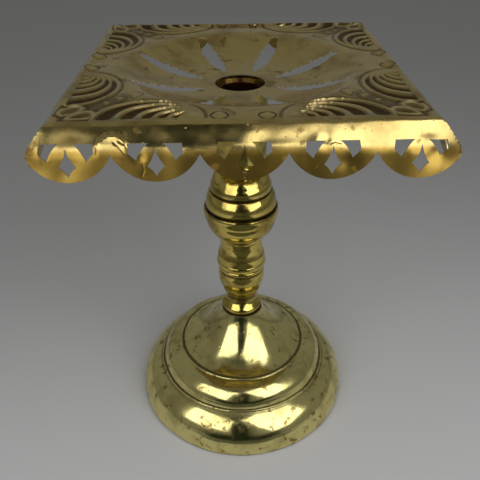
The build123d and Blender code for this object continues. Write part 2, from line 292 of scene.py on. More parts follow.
footBrass = agedBrass("footBrass", {
    **brassLook, "bright": (0.80, 0.71, 0.29), "thin": (0.46, 0.39, 0.14), "roughness": 0.12, "patina": 0.75,
    "patinaSize": 17.0, "blots": 0.8, "blotSize": 7.5, "blotEdge": 0.57, "pits": 1.0, "pitSize": 7.5,
    "pitEdge": 0.49, "stains": 0.85, "grooves": footGrooves})
# painted shade: the candle socket is coloured near black, standing in for the shade deep inside the cup and
# bore
socketShadeBrass = agedBrass("socketShadeBrass", {
    **brassLook, "bright": (0.060, 0.020, 0.009), "thin": (0.020, 0.010, 0.006), "brown": (0.10, 0.04, 0.015),
    "roughness": 0.42, "patina": 1.0})
solderGrey = plainMetal("solderGrey", {
    "first": (0.42, 0.41, 0.38), "second": (0.22, 0.21, 0.19), "size": 2.0, "metal": 0.9, "roughness": 0.45,
    "relief": 0.05})
rodIron = plainMetal("rodIron", {
    "first": (0.10, 0.085, 0.075), "second": (0.20, 0.10, 0.055), "size": 4.0, "metal": 0.7, "roughness": 0.6,
    "relief": 0.04})
print("materials made")


# meshes

def makeObject(name, points, faces, materials, sharpAngle, nodes, kinds=None):
    mesh = bpy.data.meshes.new(name)
    mesh.from_pydata([tuple(p) for p in np.asarray(points) * mm], [], faces)
    for material in materials:
        mesh.materials.append(material)
    if kinds is not None:
        mesh.polygons.foreach_set("material_index", kinds)
    mesh.shade_smooth()
    mesh.set_sharp_from_angle(angle=math.radians(sharpAngle))
    mesh.update()
    piece = bpy.data.objects.new(name, mesh)
    bpy.context.scene.collection.objects.link(piece)
    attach(piece, "root")
    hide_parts(*nodes)
    return piece


turned = {
    "steps": 200, "sharpAngle": 38,
    # dents: size of a hump, the finer ones and their share, how far all lie inward
    "wave": 24.0, "fineWave": 9.0, "fineShare": 0.22, "inset": 1.8, "dentShare": 0.4,
}


def spun(node, loop, material, dent, seed, steps=turned["steps"]):
    # turned piece from a closed outline of radius and height, given anticlockwise
    first, *rest = node.split("_")
    name = first + "".join(word.title() for word in rest)
    outline = np.array(loop, float)
    count = len(outline)
    angles = np.arange(steps) * 2 * math.pi / steps
    r = np.repeat(outline[None, :, 0], steps, 0)
    z = np.repeat(outline[None, :, 1], steps, 0)
    a = np.repeat(angles[:, None], count, 1)
    points = np.stack([r * np.cos(a), r * np.sin(a), z], -1).reshape(-1, 3)
    if dent > 0:
        fine = turned["fineShare"] * ripple(points, turned["fineWave"], seed + 50)
        push = dent * (ripple(points, turned["wave"], seed) + fine - turned["inset"]) * turned["dentShare"]
        out = points[:, :2] / np.linalg.norm(points[:, :2], axis=1)[:, None]
        points[:, :2] += out * push[:, None]
    faces = []
    onAxis = outline[:, 0] < 1e-6
    for i in range(steps):
        j = (i + 1) % steps
        for k in range(count):
            m = (k + 1) % count
            # rings on the axis shrink to one point
            ring = [(0 if onAxis[c] else n) * count + c for n, c in ((i, k), (j, k), (j, m), (i, m))]
            face = tuple(dict.fromkeys(ring))
            if len(face) > 2:
                faces.append(face)
    used = sorted({c for face in faces for c in face})
    place = {c: n for n, c in enumerate(used)}
    points = points[used]
    faces = [tuple(place[c] for c in face) for face in faces]
    makeObject(name, points, faces, [material], turned["sharpAngle"], [node])


def nodeSpan(node):
    # lowest and highest point of a CAD node and its widest radius, in mm
    low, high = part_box(node)
    return low.z / mm, high.z / mm, max(high.x, high.y) / mm


# turned column: radii and heights in mm, heights from the pieces' own ends

column = {
    "rodHole": 3.3, "castWall": 1.6, "spunWall": 1.2, "groove": 0.5, "soft": 0.6, "slight": 0.3, "full": 1.2,
    "belly": 26.4, "cap": 22.7, "capGroove": 14.2, "crease": 21.2, "creaseDrop": 9.8, "capTop": 14.0,
    "rimHeight": 8.4, "cupBow": 2.2, "cupFoot": 18.6, "cupFootHeight": 4.0, "knop": 28.2,
    "waist": 16.5, "vase": 18.5, "baluster": 19.4, "ledge": 4.4, "bellyHeight": 3.0, "shoulder": 8.0,
    "waistHeight": 4.0, "neck": 11.8, "swell": 10.0, "stem": 3.0, "collar": 16.6, "roll": 5.8,
    "beadRoot": 17.8, "beadOut": 20.0, "beadDrop": 4.9, "cove": 1.0,
}


def hollow(outer, wall, lowClosed=True, highClosed=True):
    # outline of a thin turned piece from its outer surface, given upward
    low = outer[0][1]
    high = outer[-1][1]
    hole = column["rodHole"]
    innerLow = low + wall if lowClosed else low
    innerHigh = high - wall if highClosed else high
    inner = [(max(r - wall, hole + 0.4), z) for r, z in outer if innerLow < z < innerHigh]
    inner = [(inner[0][0], innerLow)] + inner + [(inner[-1][0], innerHigh)]
    loop = list(outer)
    if highClosed:
        loop += [(hole, high), (hole, innerHigh)]
    loop += inner[::-1]
    if lowClosed:
        loop += [(hole, innerLow), (hole, low)]
    return loop


def knopUpper(c, low, high, out):
    g = c["groove"]
    groove = low + c["capGroove"]
    crease = high - c["creaseDrop"]
    outer = profile(
        (c["belly"], low),
        (-c["full"], c["cap"] + g, groove - g),
        (0, c["cap"] - g, groove),
        (0, c["cap"], groove + g),
        (-c["soft"], c["crease"], crease),
        (-c["full"], c["capTop"], high - g),
        (0, c["capTop"], high))
    return hollow(outer, c["spunWall"], False, True)


def knopLower(c, low, high, out):
    g = c["groove"]
    rim = high - c["rimHeight"]
    outer = profile(
        (c["waist"], low),
        (0, c["cupFoot"] - 2 * g, low + g),
        (-c["soft"], c["cupFoot"], low + c["cupFootHeight"]),
        (-c["cupBow"], c["knop"] - 3 * g, rim - g),
        (0, c["knop"] - 3 * g, rim),
        (0, c["knop"] - g, rim + g),
        (-c["slight"], c["knop"], high - 3 * g),
        (0, c["knop"] - g, high))
    return hollow(outer, c["spunWall"], True, False)


def midBaluster(c, low, high, out):
    g = c["groove"]
    ledge = low + c["ledge"]
    belly = ledge + c["bellyHeight"]
    top = belly + c["bellyHeight"]
    outer = profile(
        (c["vase"] - g, low),
        (-c["slight"], c["vase"], ledge - g),
        (0, c["vase"] - g / 2, ledge),
        (-c["slight"], c["baluster"], belly),
        (-c["slight"], c["baluster"] - g, top),
        (-c["slight"], c["waist"] + 2 * g, top + c["shoulder"]),
        (c["slight"], c["waist"], high - c["waistHeight"]),
        (0, c["waist"], high))
    return hollow(outer, c["castWall"])


def lowerVase(c, low, high, out):
    outer = profile(
        (c["neck"], low),
        (c["slight"], c["neck"] + 2 * c["groove"], low + c["stem"]),
        (-c["soft"], c["vase"] - c["groove"], high - c["swell"]),
        (-c["slight"], c["vase"], high - c["stem"]),
        (0, c["vase"] - c["groove"], high))
    return hollow(outer, c["castWall"])


def footCollar(c, low, high, out):
    return profile(
        (c["rodHole"], low),
        (0, c["collar"] - c["full"], low),
        (-c["full"], c["collar"] - c["full"], low + c["roll"]),
        (c["soft"], c["neck"], high),
        (0, c["rodHole"], high))


def neckBeadRing(c, low, high, out):
    bead = high - c["beadDrop"]
    return profile(
        (c["rodHole"], low),
        (0, c["capTop"], low),
        (c["cove"], c["beadRoot"], bead),
        (c["beadRoot"] - c["beadOut"], c["beadRoot"], high),
        (0, c["rodHole"], high))


cup = {"wall": 1.2, "ledge": 1.0, "floor": 2.0, "edge": 0.3, "edgeBow": 0.1}
socket = {"bore": 12.8, "wall": 1.0, "foot": 0.4, "lip": 0.5, "edgeBow": 0.15, "flangeBow": 0.2}


def neckCup(c, low, high, out):
    ledgeZ = nodeSpan("candle_socket")[1] - socket["wall"]
    edge = cup["edge"]
    inside = out - cup["wall"]
    return profile(
        (c["rodHole"], low),
        (0, out - edge, low),
        (-cup["edgeBow"], out, low + edge),
        (0, out, high - edge),
        (-cup["edgeBow"], out - edge, high),
        (0, inside, high),
        (0, inside, ledgeZ),
        (0, inside - cup["ledge"], ledgeZ),
        (0, inside - cup["ledge"], low + cup["floor"]),
        (0, c["rodHole"], low + cup["floor"]))


def candleSocket(c, low, high, out):
    bore, wall, foot, lip, bow = (c[key] for key in ("bore", "wall", "foot", "lip", "edgeBow"))
    return profile(
        (0.0, low),
        (0, bore + wall - foot, low),
        (-bow, bore + wall, low + foot),
        (0, bore + wall, high - wall),
        (0, out, high - wall),
        (-c["flangeBow"], out, high),
        (0, bore + lip, high),
        (bow, bore, high - lip),
        (0, bore, low + wall + lip),
        (-bow, bore - lip, low + wall),
        (0, 0.0, low + wall))


columnPieces = (
    # node, outline, dent, seed
    ("knop_upper", knopUpper, 0.12, 3), ("knop_lower", knopLower, 0.10, 4),
    ("mid_baluster", midBaluster, 0.10, 5), ("lower_vase", lowerVase, 0.08, 6),
    ("foot_collar", footCollar, 0.06, 7), ("neck_bead_ring", neckBeadRing, 0.05, 8),
    ("neck_cup", neckCup, 0.05, 9))
for node, shape, dent, seed in columnPieces:
    spun(node, shape(column, *nodeSpan(node)), columnBrass, dent, seed)
spun("candle_socket", candleSocket(socket, *nodeSpan("candle_socket")), socketShadeBrass, 0.0, 10)
print("column made")


# spun foot

foot = {
    "wall": 1.2, "hem": 2.0, "hemSink": 0.2, "lowerRing": 70.4, "lowerRingZ": 30.8, "upperRing": 52.8,
    "upperRingZ": 47.8, "bead": 0.9, "lowerBow": 4.8, "upperBow": 3.8, "bellBow": 5.2, "dent": 0.42,
    "hemStart": 130, "hemSteps": 16, "hemShare": 0.6, "steps": 280,
}


def baseDome():
    f = foot
    low, high, out = nodeSpan("base_dome")
    b = f["bead"]
    hemZ = f["hem"] - f["hemSink"]
    hemR = out - f["hem"]
    outer = profile(
        (out, hemZ),
        (-f["lowerBow"], f["lowerRing"] + b, f["lowerRingZ"] - b),
        (-b / 2, f["lowerRing"] - b, f["lowerRingZ"] + b),
        (-f["upperBow"], f["upperRing"] + b, f["upperRingZ"] - b),
        (-b / 2, f["upperRing"] - b, f["upperRingZ"] + b),
        (f["bellBow"], column["collar"], high))
    w = f["wall"]
    inner = [(r - w, z - w) for r, z in outer if r - w < hemR - f["hem"] * f["hemShare"] and z - w > hemZ]
    hole = column["rodHole"]
    loop = list(outer) + [(hole, high), (hole, high - w)] + inner[::-1]
    # the hem leaves the inside of the wall and rolls round under it
    sweep = f["hemSteps"]
    start = math.radians(f["hemStart"])
    for i in range(sweep):
        angle = start + (math.radians(360) - start) * i / (sweep - 1)
        z = max(low, hemZ + f["hem"] * math.sin(angle))
        loop.append((hemR + f["hem"] * math.cos(angle), z))
    spun("base_dome", loop[:-1], footBrass, f["dent"], 11, f["steps"])


baseDome()
print("foot made")


# pressed tray: one sheet, drawn on a flat chart and then folded

tray = {
    "stripWidth": 6.2, "fold": 100.0, "cusp": 110.0, "softFold": 4.0, "foldRise": 1.8, "drop": 11.2,
    "apronSlope": 80.0, "sheet": 0.8, "rim": 80.0, "rimRound": 25.0, "dishDepth": 13.0, "hubFlat": 21.0,
    "hubHole": 16.4, "slots": 8, "slotInner": 25.0, "slotOuter": 75.0, "slotHalf": 5.2, "slotWaves": 7,
    "slotWave": 0.50, "slotFull": 0.6, "scallops": 5, "scallopDrop": 13.9, "holeTop": 4.6, "holeInner": 3.4,
    "holeOuterTop": 13.2, "holeOuterLow": 13.8, "shoulder": 0.8, "holeTipX": 9.8, "holeTip": -3.2,
    "petalBow": 0.9, "kiteTop": 2.7, "kiteWaist": -6.2, "kiteHalf": 4.5, "kiteTip": -11.4, "kiteCove": 0.55,
    # how far in the relief starts, and where it ends before the fold
    "reliefIn": (7.0, 2.0), "reliefEnd": 99.2, "reliefFade": 2.5,
    # unevenness of the dish and of the sides: size of a hump and its height
    "dishWave": (38.0, 0.22), "dishFine": (15.0, 0.06), "dishInset": 0.28,
    "sideWave": (30.0, 0.22), "sideInset": 0.35, "sharpAngle": 62,
    # mesh: spacing of points, how far in the dense field reaches, least distance from a line
    "fieldStep": 0.6, "dishStep": 1.7, "apronStep": 1.05, "denseIn": 6.0,
    "apronClear": 0.55, "dishClear": 0.8, "fieldClear": 0.32,
}

trayLow, trayHigh, trayReach = nodeSpan("tray_sheet")
stripHalf = tray["stripWidth"] / 2
fasciaSlope = math.atan2(tray["drop"], tray["cusp"] - tray["fold"])
fieldZ = trayHigh - stripHalf * math.tan(fasciaSlope / 2)
cuspZ = fieldZ - tray["drop"]
fasciaLength = tray["drop"] / math.sin(fasciaSlope)
apronSlope = math.radians(tray["apronSlope"])
dishSlope = 2 * math.atan2(tray["dishDepth"], tray["rim"] - tray["hubFlat"])
bowlRadius = (tray["rim"] - tray["hubFlat"]) / math.sin(dishSlope) - tray["rimRound"]


def chartOf(z):
    # chart distance of a height on the fascia or apron
    if z > cuspZ:
        return tray["fold"] + (fieldZ - z) / math.sin(fasciaSlope)
    return tray["fold"] + fasciaLength + (cuspZ - z) / math.sin(apronSlope)


def reachOf(t):
    # how far out and how high a chart distance lies
    t = np.asarray(t, float)
    down = t - tray["fold"]
    cuspAt = fasciaLength - tray["foldRise"]
    past = np.maximum(down - cuspAt, 0)
    slope = np.clip(down, 0, cuspAt)
    out = np.where(down < 0, t, tray["fold"] + slope * math.cos(fasciaSlope) + past * math.cos(apronSlope))
    z = fieldZ - slope * math.sin(fasciaSlope) - past * math.sin(apronSlope)
    # the fold over the scallops is rounded
    soft = tray["softFold"]
    share = np.clip((down - cuspAt) / soft, -1, 1)
    inside = np.abs(down - cuspAt) < soft
    turn = (apronSlope - fasciaSlope) / 2
    middle = fasciaSlope + turn
    pull = soft * math.sin(turn) * (1 - np.abs(share)) ** 2 / 2
    out = np.where(inside, out - pull * math.sin(middle), out)
    z = np.where(inside, z - pull * math.cos(middle), z)
    # and the strip between the field and the fascia is arched
    stripAt = tray["fold"] - tray["stripWidth"]
    rise = stripHalf * math.tan(fasciaSlope / 2)
    radius = (stripHalf ** 2 + rise ** 2) / (2 * rise)
    onStrip = (t > stripAt) & (t < tray["fold"])
    across = np.clip(t - stripAt - stripHalf, -stripHalf, stripHalf)
    z = np.where(onStrip, fieldZ + rise - radius + np.sqrt(radius ** 2 - across ** 2), z)
    return out, z


def dishZ(r):
    # height of the dish at a radius
    turn = tray["hubFlat"] + bowlRadius * math.sin(dishSlope)
    hubZ = fieldZ - tray["dishDepth"]
    inBowl = np.clip(r - tray["hubFlat"], 0, None)
    bowl = hubZ + bowlRadius - np.sqrt(np.clip(bowlRadius ** 2 - np.minimum(inBowl, turn) ** 2, 0, None))
    toRim = np.clip(tray["rim"] - r, 0, tray["rim"] - turn)
    rim = fieldZ - tray["rimRound"] + np.sqrt(tray["rimRound"] ** 2 - toRim ** 2)
    return np.where(r < turn, bowl, rim)


def toChart(x, z, side):
    # chart point of a place on a side's apron: x along the side, seen from outside
    t = chartOf(z)
    out, _ = reachOf(t)
    p = np.array([x * t / float(out), -t])
    angle = side * math.pi / 2
    c = round(math.cos(angle))
    s = round(math.sin(angle))
    return (p[0] * c - p[1] * s, p[0] * s + p[1] * c)


def evened(points, step):
    # the same closed line with points about step apart
    result = []
    for i, a in enumerate(points):
        b = points[(i + 1) % len(points)]
        count = max(1, round(math.dist(a, b) / step))
        result += [(a[0] + (b[0] - a[0]) * k / count, a[1] + (b[1] - a[1]) * k / count) for k in range(count)]
    return result


def slotOutline(turn):
    # one wavy leaf slot of the dish
    steps = 72
    upper = []
    for i in range(steps + 1):
        s = i / steps
        half = tray["slotHalf"] * math.sin(math.pi * s) ** tray["slotFull"]
        half += tray["slotWave"] * math.sin(2 * math.pi * tray["slotWaves"] * s)
        half += tray["slotWave"] * 0.5 * math.sin(2 * math.pi * s * 3.3 + turn) * math.sin(math.pi * s)
        upper.append((tray["slotInner"] + (tray["slotOuter"] - tray["slotInner"]) * s, half))
    whole = upper + [(x, -y) for x, y in reversed(upper[1:-1])]
    c = math.cos(turn)
    s = math.sin(turn)
    return evened([(x * c - y * s, x * s + y * c) for x, y in whole], 0.7)


def sideHoles(middle, side):
    # the two side holes and the kite of one scallop
    t = tray
    half = t["kiteHalf"]
    kite = [(0, t["kiteTop"]), (-half, t["kiteWaist"]), (0, t["kiteTip"]), (half, t["kiteWaist"])]
    line = []
    for i in range(4):
        line += bowed(kite[i], kite[(i + 1) % 4], t["kiteCove"], 8)[:-1]
    holes = [line]
    for way in (-1, 1):
        topIn = (way * t["holeInner"], t["holeTop"])
        topOut = (way * t["holeOuterTop"], t["holeTop"])
        edge = (way * t["holeOuterLow"], t["shoulder"])
        tip = (way * t["holeTipX"], t["holeTip"])
        line = []
        for start, end, bow, steps in ((topIn, topOut, 0, 9), (topOut, edge, 0, 4), (edge, tip, 0, 4),
                                       (tip, topIn, -way * t["petalBow"], 8)):
            line += bowed(start, end, bow, steps)[:-1]
        holes.append(line)
    return [[toChart(middle + x, cuspZ + z, side) for x, z in hole] for hole in holes]


def scallopEdge(side):
    # lower edge of one side, from its left corner to its right
    pitch = 2 * tray["cusp"] / tray["scallops"]
    radius = ((pitch / 2) ** 2 + tray["scallopDrop"] ** 2) / (2 * tray["scallopDrop"])
    half = math.asin(pitch / 2 / radius)
    line = []
    steps = 44
    for k in range(tray["scallops"]):
        middle = (k - (tray["scallops"] - 1) / 2) * pitch
        for i in range(steps):
            angle = -half + 2 * half * i / steps
            x = middle + radius * math.sin(angle)
            z = cuspZ - tray["scallopDrop"] + radius - radius * math.cos(angle)
            line.append(toChart(x, z, side))
    return line


pattern = {
    "shift": 4.8,
    # groove beside the front's strip
    "borderLine": 93.0, "grooveDepth": 0.35, "grooveHalf": 0.8, "grooveFade": 8.0,
    # shell fans: outlines of the ribs as widths from the inner end, rib shape, ridge and moat round the fan
    "fanStart": 21.8, "fanBase": 95.6, "fanWidths": (7.0, 10.0, 15.8, 23.2, 31.6, 42.8, 55.3),
    "fanHeight": 24.0, "fanDepth": 1.5, "fanFlat": 0.5, "ribLean": 0.72, "ribSharp": 1.8, "ribGain": 1.25,
    "ribDown": 0.70, "ribGap": (1.9, 4.4), "endWall": (0.2, 2.4), "greenFrom": (-4.5, -0.5),
    "ridge": (0.80, 1.0), "moat": (0.35, 1.3), "moatAt": 2.8, "moatReach": 9.0,
    "curl": 0.55, "curlAt": (5.2, 2.4), "curlHalf": (3.6, 2.0),
    # bosses: one of each pair pointed, the other round
    "bossX": 12.3, "bossB": 93.2, "bossRadius": 3.6, "bossPoint": 1.8, "bossRound": 1.5, "bossGroove": 0.30,
    # drops on the diagonals, then the corner leaves: place, angle, length, width, rise, cupped
    "leaves": [(61.5, 59.0, 0.15, 7.4, 3.6, 0.9, False), (68.0, 66.6, 0.2, 6.0, 3.2, 0.85, False),
               (74.0, 73.0, 0.3, 4.4, 2.6, 0.7, False), (90.5, 84.0, 1.0, 14.0, 7.0, 0.8, True)],
    # brown ground in the corners
    "groundFrom": (52.0, 66.0), "ground": 0.55,
}


def leafShape(x, y, cx, cy, angle, length, width):
    # 0 in the middle of a pointed leaf, 1 on its outline
    c = math.cos(angle)
    s = math.sin(angle)
    along = ((x - cx) * c + (y - cy) * s) / (length / 2)
    across = (-(x - cx) * s + (y - cy) * c) / (width / 2)
    taper = np.clip(1.15 - 0.35 * along, 0.25, 2.0)
    return np.sqrt(along ** 2 + (across / taper) ** 2)


def relief(x, y):
    # height pressed into the flat field, and masks for the painted shade in its recesses, the painted
    # highlight on its crests, and its green ends
    t = pattern
    r = np.hypot(x, y)
    onField = smooth(r, *(tray["rim"] - inward for inward in tray["reliefIn"]))
    edgeLine = -y - t["borderLine"]
    nearFront = smooth(-np.abs(x), -t["borderLine"], -t["borderLine"] + t["grooveFade"])
    y = y - t["shift"]
    m = np.minimum(np.abs(x), np.abs(y))
    b = np.maximum(np.abs(x), np.abs(y))

    # narrow groove beside the front's raised strip
    height = -t["grooveDepth"] * bell(edgeLine, t["grooveHalf"]) * nearFront
    # painted shade in the groove
    shadeAndStain = 0.35 * bell(edgeLine, 1.0) * nearFront

    # shell fans: similar half ellipses that all touch at their inner end
    widths = np.array(t["fanWidths"])
    p = m - t["fanStart"]
    q = np.clip(t["fanBase"] - b, 0, None)
    k = t["fanHeight"] / widths[-1]
    safe = np.clip(p, 0.05, None)
    w = safe + q ** 2 / (4 * k * k * safe)
    slopeP = 1 - q ** 2 / (4 * k * k * safe ** 2)
    slopeQ = q / (2 * k * k * safe)
    grad = np.sqrt(slopeP ** 2 + slopeQ ** 2)
    order = np.interp(w, widths, np.arange(len(widths))[::-1])
    gap = np.interp(w, (widths[1:] + widths[:-1]) / 2, widths[1:] - widths[:-1]) / grad
    phase = order - np.floor(order)
    rib = (0.5 + 0.5 * np.cos(2 * math.pi * phase ** t["ribLean"])) ** t["ribSharp"]
    inFan = (w <= widths[-1]) & (p > 0) & (b < t["fanBase"] + 0.4)
    # ribs too close together to be told apart are left out
    sound = smooth(gap, *t["ribGap"]) * smooth(w, widths[0], widths[1])
    endWall = smooth(q, *t["endWall"])
    cut = (rib * t["ribGain"] - t["ribDown"]) * t["fanDepth"] * sound * endWall
    cut = cut + (1 - sound) * t["fanFlat"] * endWall
    height += cut * inFan
    # painted shade in the troughs between the ribs
    shadeAndStain = np.maximum(shadeAndStain, (0.25 + 0.75 * (1 - rib) ** 2) * sound * endWall * inFan)
    # painted highlight along the rib crests
    crest = rib ** 3 * endWall * inFan
    green = rib ** 2 * smooth(-q, *t["greenFrom"]) * smooth(w, widths[2], widths[3]) * inFan

    # a ridge round each fan, and a moat round the ridge
    span = widths[-1] / 2
    level = np.hypot((p - span) / span, q / t["fanHeight"])
    steep = np.hypot((p - span) / span ** 2, q / t["fanHeight"] ** 2) / np.maximum(level, 0.2)
    near = (level - 1) / np.maximum(steep, 1e-4)
    outside = (level > 1) & (near < t["moatReach"]) & (b < t["fanBase"] + 1.0) & ~inFan
    ridge, ridgeHalf = t["ridge"]
    moat, moatHalf = t["moat"]
    raised = height + ridge * bell(near, ridgeHalf) - moat * bell(near - t["moatAt"], moatHalf)
    height = np.where(outside, raised, height)
    # painted highlight on the ridge round each fan
    crest = np.maximum(crest, bell(near, 0.9) * outside)
    # painted shade in the moat
    shadeAndStain = np.maximum(shadeAndStain, 0.6 * bell(near - t["moatAt"], 1.7) * outside)
    curl = np.hypot((p - t["curlAt"][0]) / t["curlHalf"][0], (q - t["curlAt"][1]) / t["curlHalf"][1])
    height += t["curl"] * bell(curl, 0.8) * (p > 0)

    # two bosses in the middle of each side
    boss = np.hypot(m - t["bossX"], b - t["bossB"]) / t["bossRadius"]
    pointed = (x * np.sign(np.where(np.abs(y) > np.abs(x), -y, y)) < 0)
    point = t["bossPoint"] * np.clip(1 - boss, 0, 1) ** 0.8
    dome = np.where(pointed, point, t["bossRound"] * bell(boss, 0.62))
    height += np.where(boss < 1.6, dome - t["bossGroove"] * bell(boss - 1.18, 0.16), 0)
    # painted shade in the ring round each boss
    shadeAndStain = np.maximum(shadeAndStain, 0.8 * bell(boss - 1.22, 0.2))
    # painted highlight on each boss's top
    crest = np.maximum(crest, bell(boss, 0.6))

    # drops along the diagonals and leaves in the corners
    for cx, cy, angle, length, width, rise, cupped in t["leaves"]:
        edge = leafShape(b, m, cx, cy, angle, length, width)
        if cupped:
            height += np.where(edge < 1.7, rise * (bell(edge - 1.0, 0.22) - 0.75 * bell(edge, 0.62)), 0)
            # painted highlight on the cupped leaf's rim
            crest = np.maximum(crest, bell(edge - 1.0, 0.2))
            # painted shade in the cupped leaf's hollow
            shadeAndStain = np.maximum(shadeAndStain, 0.7 * bell(edge, 0.55))
        else:
            height += rise * np.clip(1.1 - edge, 0, 1) ** 0.7
            # painted highlight on each drop
            crest = np.maximum(crest, bell(edge, 0.7))
        # painted shade round each leaf
        shadeAndStain = np.maximum(shadeAndStain, 0.7 * bell(edge - 1.5, 0.3))
    ground = smooth(r, tray["rim"] + 1.0, tray["rim"] + 6.0) * smooth(-b, -t["fanBase"], -t["fanBase"] + 1.5)
    ground *= smooth(m, *t["groundFrom"])
    shadeAndStain = np.maximum(shadeAndStain, t["ground"] * ground)
    return height * onField, np.clip(shadeAndStain, 0, 1) * onField, np.clip(crest, 0, 1) * onField, green * onField


def chartPoints(lines):
    # inner points of the chart, closer together where the relief is
    t = tray
    top = chartOf(cuspZ - t["scallopDrop"]) + 1.0
    dense = t["rim"] - t["denseIn"]
    groups = []
    for step, keep in ((t["fieldStep"], "field"), (t["dishStep"], "dish"), (t["apronStep"], "apron")):
        count = int(2 * top / step)
        axis = (np.arange(count) - (count - 1) / 2) * step
        gx, gy = np.meshgrid(axis, axis)
        gx[::2] += step / 2
        p = np.stack([gx.ravel(), gy.ravel()], 1)
        b = np.abs(p).max(1)
        r = np.hypot(p[:, 0], p[:, 1])
        if keep == "field":
            p = p[(r > dense) & (b < t["fold"] + 0.5)]
        elif keep == "dish":
            p = p[(r <= dense) & (r > t["hubHole"] + t["dishClear"])]
        else:
            p = p[b >= t["fold"] + 0.5]
        groups.append(p)
    points = np.concatenate(groups)
    fixed = [q for line, _ in lines for q in line]
    tree = kdtree.KDTree(len(fixed))
    for i, q in enumerate(fixed):
        tree.insert((q[0], q[1], 0.0), i)
    tree.balance()
    clear = np.array([tree.find((x, y, 0.0))[2] for x, y in points])
    b = np.abs(points).max(1)
    limit = np.where(np.hypot(*points.T) < dense, t["dishClear"], t["fieldClear"])
    limit = np.where(b > t["fold"], t["apronClear"], limit)
    return points[clear > limit]


def insideLine(points, line):
    # which points lie inside a closed line
    poly = np.array(line)
    low = poly.min(0)
    high = poly.max(0)
    inside = np.zeros(len(points), bool)
    near = np.where(((points >= low) & (points <= high)).all(1))[0]
    p = points[near]
    odd = np.zeros(len(near), bool)
    for a, b in zip(poly, np.roll(poly, -1, 0)):
        if a[1] == b[1]:
            continue
        crosses = (a[1] > p[:, 1]) != (b[1] > p[:, 1])
        at = (b[0] - a[0]) * (p[:, 1] - a[1]) / (b[1] - a[1]) + a[0]
        odd ^= crosses & (p[:, 0] < at)
    inside[near] = odd
    return inside


knocks = {
    # the tab pushed out beside the first scallop: middle along the front, chart distance, half sizes, rise
    "lobe": (-65.0, 111.6, 8.2, 8.0, 1.5), "lobeSlope": 13.5,
    # dents pushed in: middle along the front, height over the cusp line, radius, depth
    "dents": [(97.5, -1.0, 9.0, 2.2), (86.0, 1.0, 3.0, 0.3), (-52.0, -2.0, 4.0, 0.8),
              (40.0, 4.0, 4.0, 0.5), (52.0, -6.0, 6.0, 0.5), (2.0, 4.0, 9.0, -0.4)],
    # cracks, along the front and over the cusp line, their half width and depth
    "cracks": [[(-64.3, 4.9), (-62.5, 3.6), (-60.3, 1.6), (-59.0, 0.1)], [(-61.8, 5.3), (-59.6, 4.1)],
               [(-50.6, -5.2), (-50.2, -8.0), (-51.4, -10.8)], [(0.2, -12.0), (0.7, -13.0), (0.5, -14.0)],
               [(42.7, 3.2), (44.8, 3.8), (47.2, 3.2)]],
    "crackHalf": 0.42, "crackDepth": 0.12,
    # brown smears: middle along the front, chart distance, half sizes
    "smears": [(92.0, 107.4, 7.0, 3.0), (-84.0, 107.0, 11.0, 5.0), (40.2, 110.2, 3.4, 1.3),
               (-22.0, 115.0, 5.0, 2.4), (-100.5, 112.0, 1.6, 12.0), (95.0, 114.0, 4.0, 4.0),
               (-107.0, 112.0, 7.0, 12.0), (107.0, 112.0, 7.0, 12.0)], "smear": 0.62,
    # bent corners: how far back and up, where the crease is on the front and the sides, and its width
    "leftCorner": (0.9, 0.3), "rightCorner": (0.7, 0.2), "cornerIn": 0.5,
    "frontCrease": (100.5, 9.5), "sideCrease": (99.0, 11.0), "bendFrom": (96.0, 110.0), "mostBend": 1.4,
}


def frontLine(points):
    # chart points of a line on the front, given along it and over the cusp line
    return [toChart(x, cuspZ + z, 0) for x, z in points]


def crackLines():
    lines = []
    for crack in knocks["cracks"]:
        for shift in (-knocks["crackHalf"], 0.0, knocks["crackHalf"]):
            steep = abs(crack[-1][1] - crack[0][1]) > abs(crack[-1][0] - crack[0][0])
            moved = [(x + shift, z) if steep else (x, z + shift) for x, z in crack]
            line = []
            for a, b in zip(moved, moved[1:]):
                line += bowed(a, b, 0, 6)[:-1]
            lines.append((frontLine(line + [moved[-1]]), False))
    return lines


def wearAndLobeShade(chart):
    # height and dark masks of the front's lobe, dents, cracks and smears; the dark line round the lobe is
    # painted shade
    x, y = chart.T
    t = np.abs(y)
    front = (t >= np.abs(x)) & (y < 0) & (t > tray["fold"] - 2.0)
    out, _ = reachOf(np.abs(chart).max(1))
    along = x * out / np.abs(chart).max(1)
    high = cuspZ - reachOf(t)[1]
    height = np.zeros(len(x))
    dark = np.zeros(len(x))
    cx, ct, halfX, halfT, rise = knocks["lobe"]
    over = np.hypot((along - cx) / halfX, np.minimum(t - ct, 0) / halfT)
    slope = np.clip(1 - (t - ct + halfT) / knocks["lobeSlope"], 0, 1)
    height += rise * smooth(-over, -1.0, -0.86) * slope
    # painted shade along the lobe's upper outline
    dark = np.maximum(dark, 0.7 * bell(over - 1.0, 0.05) * (t < ct + 3.0))
    for cx, cz, radius, depth in knocks["dents"]:
        height -= depth * bell(np.hypot(along - cx, -high - cz), radius * 0.7)
    for cx, ct, halfX, halfT in knocks["smears"]:
        away = np.hypot((along - cx) / halfX, (t - ct) / halfT)
        dark = np.maximum(dark, knocks["smear"] * bell(away, 0.85))
    for crack in knocks["cracks"]:
        line = np.array(frontLine(crack))
        near = np.full(len(x), 99.0)
        for a, b in zip(line, line[1:]):
            span = b - a
            share = np.clip(((x - a[0]) * span[0] + (y - a[1]) * span[1]) / (span @ span), 0, 1)
            near = np.minimum(near, np.hypot(x - a[0] - share * span[0], y - a[1] - share * span[1]))
        cut = 1 - smooth(near, 0.05, knocks["crackHalf"])
        height -= knocks["crackDepth"] * cut
        dark = np.maximum(dark, cut)
    return height * front, dark * front


